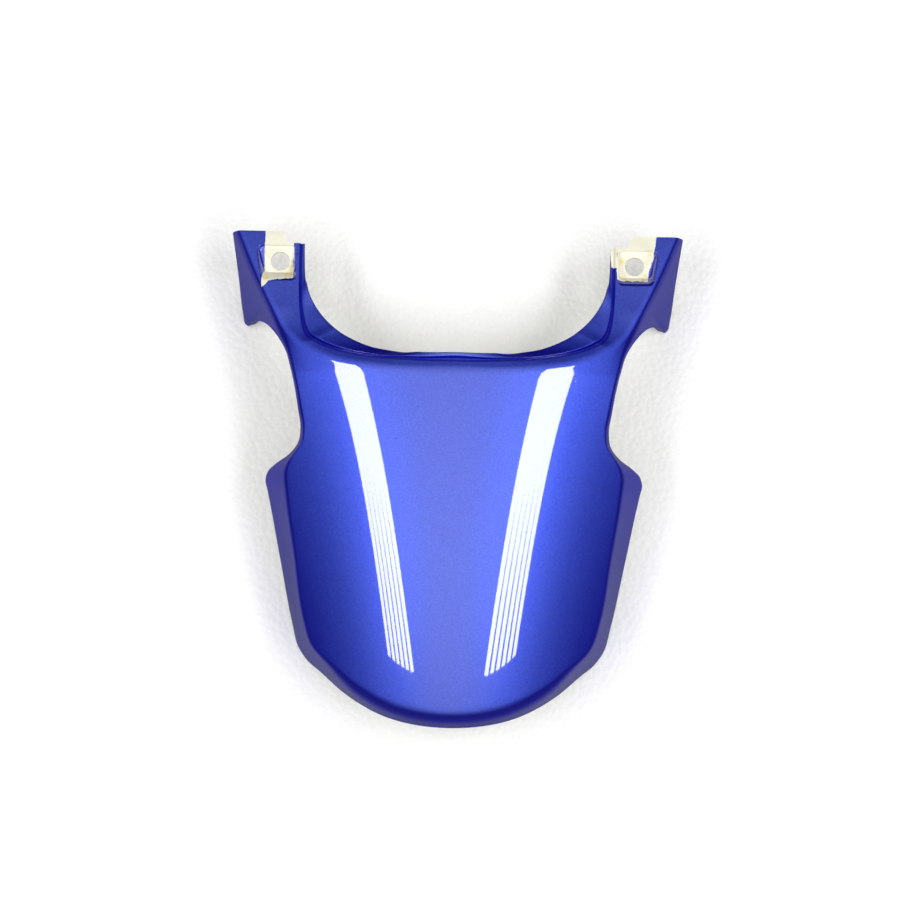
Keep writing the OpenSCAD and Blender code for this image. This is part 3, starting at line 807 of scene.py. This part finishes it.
def addFloor(look):
    half = look["size"] / 2
    points = np.array([(-half, -half, 0), (half, -half, 0), (half, half, 0), (-half, half, 0)])
    floor = meshFromArrays("foamFloor", points, [(0, 1, 2, 3)])
    material, tree = newMaterial("whiteFoam")
    position = node(tree, "ShaderNodeTexCoord").outputs["Object"]
    # white to the camera, a little brighter than its light makes it
    path = node(tree, "ShaderNodeLightPath")
    seen, mirrored = path.outputs["Is Camera Ray"], path.outputs["Is Glossy Ray"]
    place = node(tree, "ShaderNodeVectorMath", {0: position, 1: look["stretch"], 2: look["shift"]},
                 operation="MULTIPLY_ADD").outputs[0]
    reach = node(tree, "ShaderNodeVectorMath", {0: place}, operation="LENGTH").outputs["Value"]
    away = ramp(tree, reach, look["near"], look["near"] + look["fade"])
    # reflections see this darker sheet: painted shade in the paint's reflections
    colour = mixColour(tree, mirrored, look["colour"], mixColour(tree, away, look["dim"], look["far"]))
    cells = {"Vector": position, "Scale": 1 / (look["pebble"] * mm)}
    pebbles = node(tree, "ShaderNodeTexVoronoi", cells, voronoi_dimensions="2D", feature="F1")
    relief = {"Height": pebbles.outputs["Distance"], "Strength": 0.8, "Distance": look["depth"] * mm}
    bump = node(tree, "ShaderNodeBump", relief, invert=True)
    shader = node(tree, "ShaderNodeBsdfPrincipled", {
        "Base Color": colour, "Roughness": 0.9, "Specular IOR Level": 0.2, "Emission Color": (1, 1, 1, 1),
        "Emission Strength": math2(tree, "MULTIPLY", seen, look["glow"]), "Normal": bump.outputs["Normal"],
    })
    node(tree, "ShaderNodeOutputMaterial", {"Surface": shader.outputs["BSDF"]})
    floor.data.materials.append(material)


studio = {
    # light from above fades to the sides: height of the direction, then strength
    "sky": [(0.0, 0.02), (0.25, 0.04), (0.5, 0.12), (0.7, 0.27), (0.85, 0.66), (1.0, 1.0)],
    # its strength behind the part's rear end and ahead of it, and what is added low down behind it
    "skyBehind": 1.35, "skyAhead": 0.8, "skyLow": 2.2,
    # each turns to the next over this stretch of the direction's y
    "skyTurn": (-0.6, 0.8), "skyLowTurn": (-0.95, -0.6),
    # ceiling lamps, in mm
    "lampHeight": 2200.0, "lampStrength": 8.4, "lampFront": 760.0, "lampRear": -1390.0,
    "tubes": 6, "tubeGap": 8.0,
    # where the two lamps' long sides lie: inner side at the front and rear, then the outer side
    "lamps": {"left": (-1470.0, -990.0, -1880.0, -1880.0), "right": (1310.0, 900.0, 1773.0, 1950.0)},
}


def addLamp(name, inFront, inRear, outFront, outRear, look):
    # a ceiling lamp of long tubes side by side, which spread towards the rear
    length = look["lampFront"] - look["lampRear"]
    middle = (look["lampFront"] + look["lampRear"]) / 2
    for i in range(look["tubes"]):
        part = (i + 0.5) / look["tubes"]
        xFront, xRear = inFront + (outFront - inFront) * part, inRear + (outRear - inRear) * part
        width = (abs(outFront - inFront) + abs(outRear - inRear)) / 2 / look["tubes"] - look["tubeGap"]
        data = bpy.data.lights.new(name + str(i), "AREA")
        data.shape = "RECTANGLE"
        data.size, data.size_y = width * mm, length * mm
        data.energy = look["lampStrength"] * math.pi * data.size * data.size_y
        lamp = bpy.data.objects.new(name + str(i), data)
        lamp.location = Vector(((xFront + xRear) / 2, middle, look["lampHeight"])) * mm
        lamp.rotation_euler = (0, 0, -math.atan2(xFront - xRear, length))
        bpy.context.scene.collection.objects.link(lamp)


def addWorld(look):
    world = bpy.data.worlds.new("studioWorld")
    world.use_nodes = True
    tree = world.node_tree
    back = tree.nodes["Background"]
    direction = node(tree, "ShaderNodeTexCoord").outputs["Generated"]
    split = node(tree, "ShaderNodeSeparateXYZ", {0: direction})
    shade = node(tree, "ShaderNodeValToRGB", {"Fac": split.outputs["Z"]})
    stops = shade.color_ramp.elements
    for i, (at, strength) in enumerate(look["sky"]):
        stop = stops[i] if i < 2 else stops.new(at)
        stop.position, stop.color = at, (strength, strength, strength, 1)
    tree.links.new(shade.outputs["Color"], back.inputs["Color"])
    # brighter behind the part's rear end than ahead of it, most of all low down
    level = ramp(tree, split.outputs["Y"], *look["skyTurn"], look["skyBehind"], look["skyAhead"])
    low = ramp(tree, split.outputs["Y"], *look["skyLowTurn"], look["skyLow"], 0.0)
    tree.links.new(math2(tree, "ADD", level, low), back.inputs["Strength"])
    bpy.context.scene.world = world


addFloor(floorLook)
addWorld(studio)
for side, edges in studio["lamps"].items():
    addLamp(side + "Lamp", *edges, studio)
bpy.context.scene.view_settings.view_transform = "Standard"
print("stage: floor and light placed")
